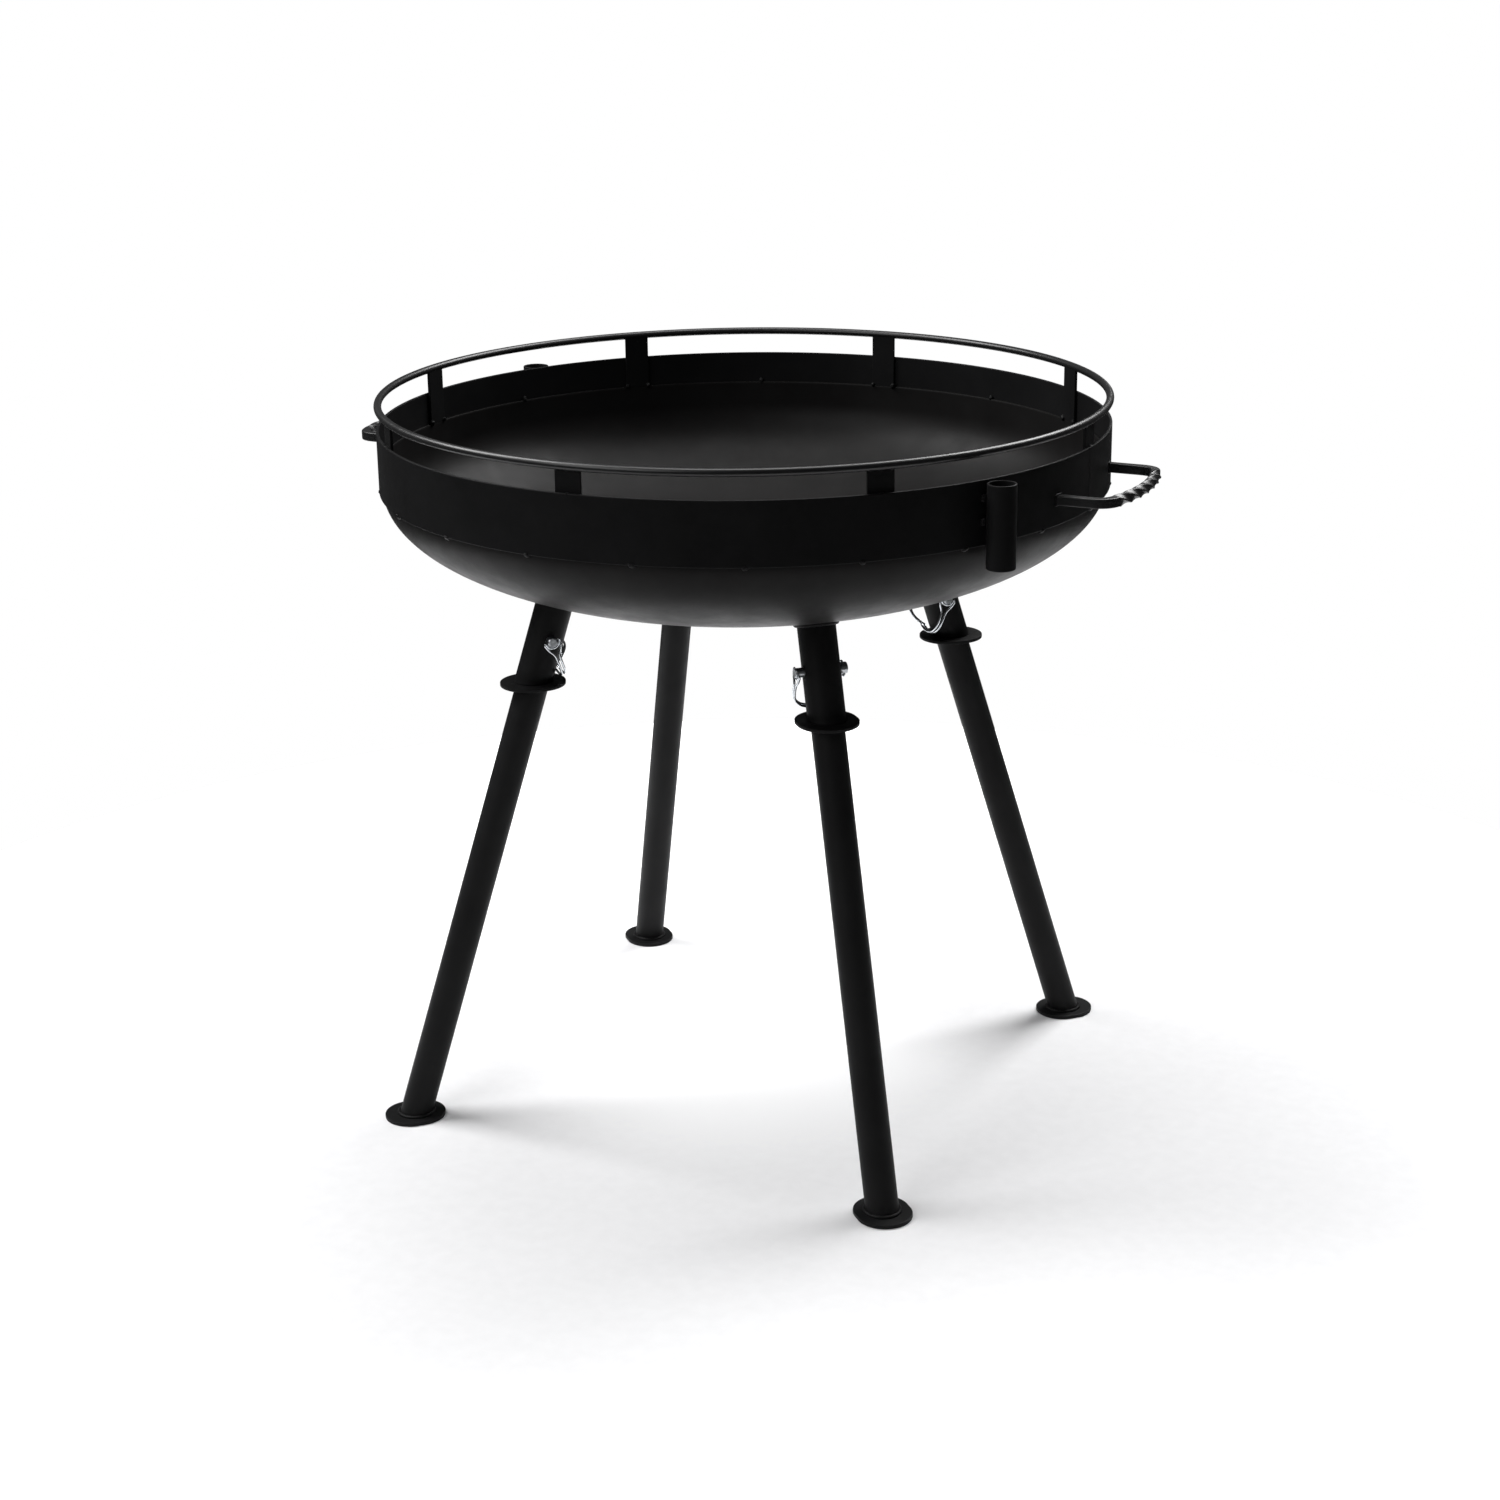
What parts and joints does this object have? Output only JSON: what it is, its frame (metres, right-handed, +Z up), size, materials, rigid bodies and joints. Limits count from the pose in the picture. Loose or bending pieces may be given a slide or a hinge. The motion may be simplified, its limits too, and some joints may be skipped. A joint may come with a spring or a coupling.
{
  "type": "fire bowl on legs",
  "caption": "Round steel fire bowl with a railed rim, lifting handles and accessory sockets, standing on removable splayed tube legs held by wire lock pins.",
  "frame": {"origin": "on the floor, under the middle of the bowl", "axes": "+Z up; +X through the right lifting handle; -Y is the front"},
  "size_m": [0.8818, 0.764, 0.7645],
  "materials": {
    "bowl_black": "satin black high-heat coat with a fine texture",
    "rim_black": "satin black high-heat coat",
    "leg_black": "satin black powder coat",
    "pin_steel": "zinc plated",
    "bail_wire": "bright zinc plated spring wire"
  },
  "bodies": {
    "root": {"bowl": "bowl_black", "rim_band": "rim_black", "top_rail": "rim_black", "rail_post_1": "rim_black", "rail_post_2": "rim_black", "rail_post_3": "rim_black", "rail_post_4": "rim_black", "rail_post_5": "rim_black", "rail_post_6": "rim_black", "rail_post_7": "rim_black", "rail_post_8": "rim_black", "handle_right": "rim_black", "handle_left": "rim_black", "accessory_socket_front": "rim_black", "accessory_socket_back": "rim_black", "socket_pads_front": "rim_black", "socket_pads_back": "rim_black", "leg_socket_1": "leg_black", "leg_socket_2": "leg_black", "leg_socket_3": "leg_black", "leg_socket_4": "leg_black", "leg_tube_1": "leg_black", "leg_tube_2": "leg_black", "leg_tube_3": "leg_black", "leg_tube_4": "leg_black", "stop_collar_1": "leg_black", "stop_collar_2": "leg_black", "stop_collar_3": "leg_black", "stop_collar_4": "leg_black", "foot_plate_1": "leg_black", "foot_plate_2": "leg_black", "foot_plate_3": "leg_black", "foot_plate_4": "leg_black"},
    "pin_1": {"lock_pin_1": "pin_steel"},
    "bail_1": {"pin_bail_1": "bail_wire"},
    "pin_2": {"lock_pin_2": "pin_steel"},
    "bail_2": {"pin_bail_2": "bail_wire"},
    "pin_3": {"lock_pin_3": "pin_steel"},
    "bail_3": {"pin_bail_3": "bail_wire"},
    "pin_4": {"lock_pin_4": "pin_steel"},
    "bail_4": {"pin_bail_4": "bail_wire"}
  },
  "joints": [
    {"name": "pin_pull_1", "type": "slide", "parent": "root", "child": "pin_1", "axis": [-0.7071, 0.7071, 0], "range_m": [0, 0.05]},
    {"name": "bail_swing_1", "type": "hinge", "parent": "pin_1", "child": "bail_1", "pos_m": [0.14076, 0.17357, 0.5215], "axis": [0.3536, 0.3536, -0.866], "range_deg": [0, 180]},
    {"name": "pin_pull_2", "type": "slide", "parent": "root", "child": "pin_2", "axis": [0.7071, 0.7071, 0], "range_m": [0, 0.05]},
    {"name": "bail_swing_2", "type": "hinge", "parent": "pin_2", "child": "bail_2", "pos_m": [-0.14076, 0.17357, 0.5215], "axis": [0.3536, -0.3536, 0.866], "range_deg": [0, 180]},
    {"name": "pin_pull_3", "type": "slide", "parent": "root", "child": "pin_3", "axis": [-0.7071, 0.7071, 0], "range_m": [0, 0.05]},
    {"name": "bail_swing_3", "type": "hinge", "parent": "pin_3", "child": "bail_3", "pos_m": [-0.17357, -0.14076, 0.5215], "axis": [0.3536, 0.3536, 0.866], "range_deg": [0, 180]},
    {"name": "pin_pull_4", "type": "slide", "parent": "root", "child": "pin_4", "axis": [0.7071, 0.7071, 0], "range_m": [0, 0.05]},
    {"name": "bail_swing_4", "type": "hinge", "parent": "pin_4", "child": "bail_4", "pos_m": [0.17357, -0.14076, 0.5215], "axis": [0.3536, -0.3536, -0.866], "range_deg": [0, 180]}
  ],
  "couplings": [
    {"joint": "bail_swing_1", "follows": "pin_pull_1", "rad_per_m": 62.8},
    {"joint": "bail_swing_2", "follows": "pin_pull_2", "rad_per_m": 62.8},
    {"joint": "bail_swing_3", "follows": "pin_pull_3", "rad_per_m": 62.8},
    {"joint": "bail_swing_4", "follows": "pin_pull_4", "rad_per_m": 62.8}
  ]
}
